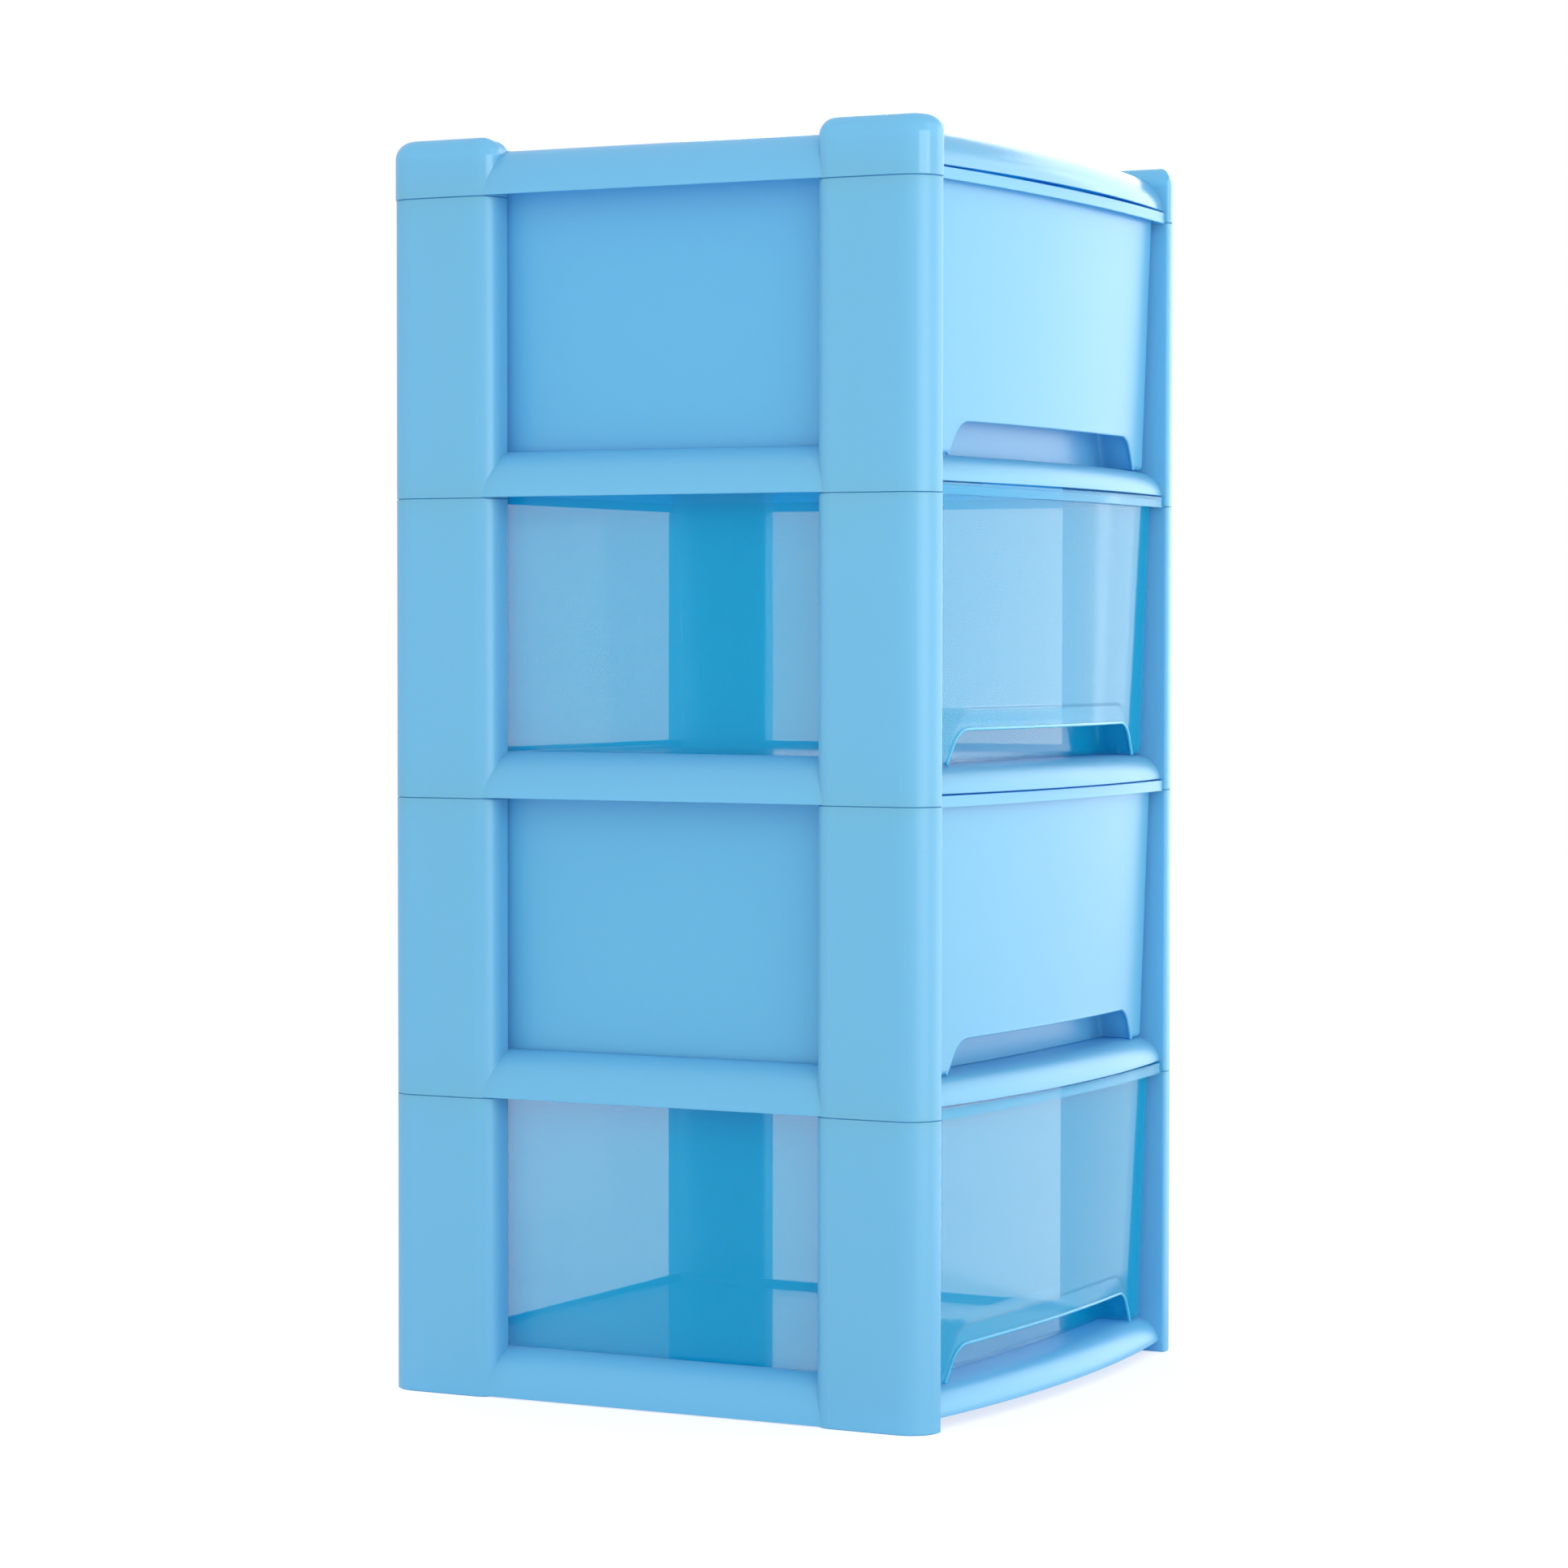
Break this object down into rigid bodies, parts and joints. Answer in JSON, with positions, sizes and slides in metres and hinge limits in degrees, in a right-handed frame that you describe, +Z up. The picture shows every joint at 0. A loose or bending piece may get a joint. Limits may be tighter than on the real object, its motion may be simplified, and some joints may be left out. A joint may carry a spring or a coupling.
{
  "type": "plastic drawer tower",
  "caption": "Light blue stacking drawer tower with a recessed tray lid, corner posts, open sides and deep bow-fronted drawers that pull out by an arched finger recess.",
  "frame": {"origin": "centre of the tower's bounding box, on the floor", "axes": "+Z up, -Y the way the drawers open, X across the front"},
  "size_m": [0.3908, 0.3914, 0.7911],
  "materials": {
    "frame_plastic": "satin",
    "opaque_drawer": "gloss",
    "clear_drawer": "gloss"
  },
  "bodies": {
    "tower": {"frame_bottom": "frame_plastic", "frame_lower_middle": "frame_plastic", "frame_upper_middle": "frame_plastic", "frame_top": "frame_plastic", "lid": "frame_plastic"},
    "drawer_bottom": {"drawer_bottom": "clear_drawer"},
    "drawer_lower_middle": {"drawer_lower_middle": "opaque_drawer"},
    "drawer_upper_middle": {"drawer_upper_middle": "clear_drawer"},
    "drawer_top": {"drawer_top": "opaque_drawer"}
  },
  "joints": [
    {"name": "drawer_bottom_slide", "type": "slide", "parent": "tower", "child": "drawer_bottom", "axis": [0, -1, 0], "range_m": [0, 0.28]},
    {"name": "drawer_lower_middle_slide", "type": "slide", "parent": "tower", "child": "drawer_lower_middle", "axis": [0, -1, 0], "range_m": [0, 0.28]},
    {"name": "drawer_upper_middle_slide", "type": "slide", "parent": "tower", "child": "drawer_upper_middle", "axis": [0, -1, 0], "range_m": [0, 0.28]},
    {"name": "drawer_top_slide", "type": "slide", "parent": "tower", "child": "drawer_top", "axis": [0, -1, 0], "range_m": [0, 0.28]}
  ]
}
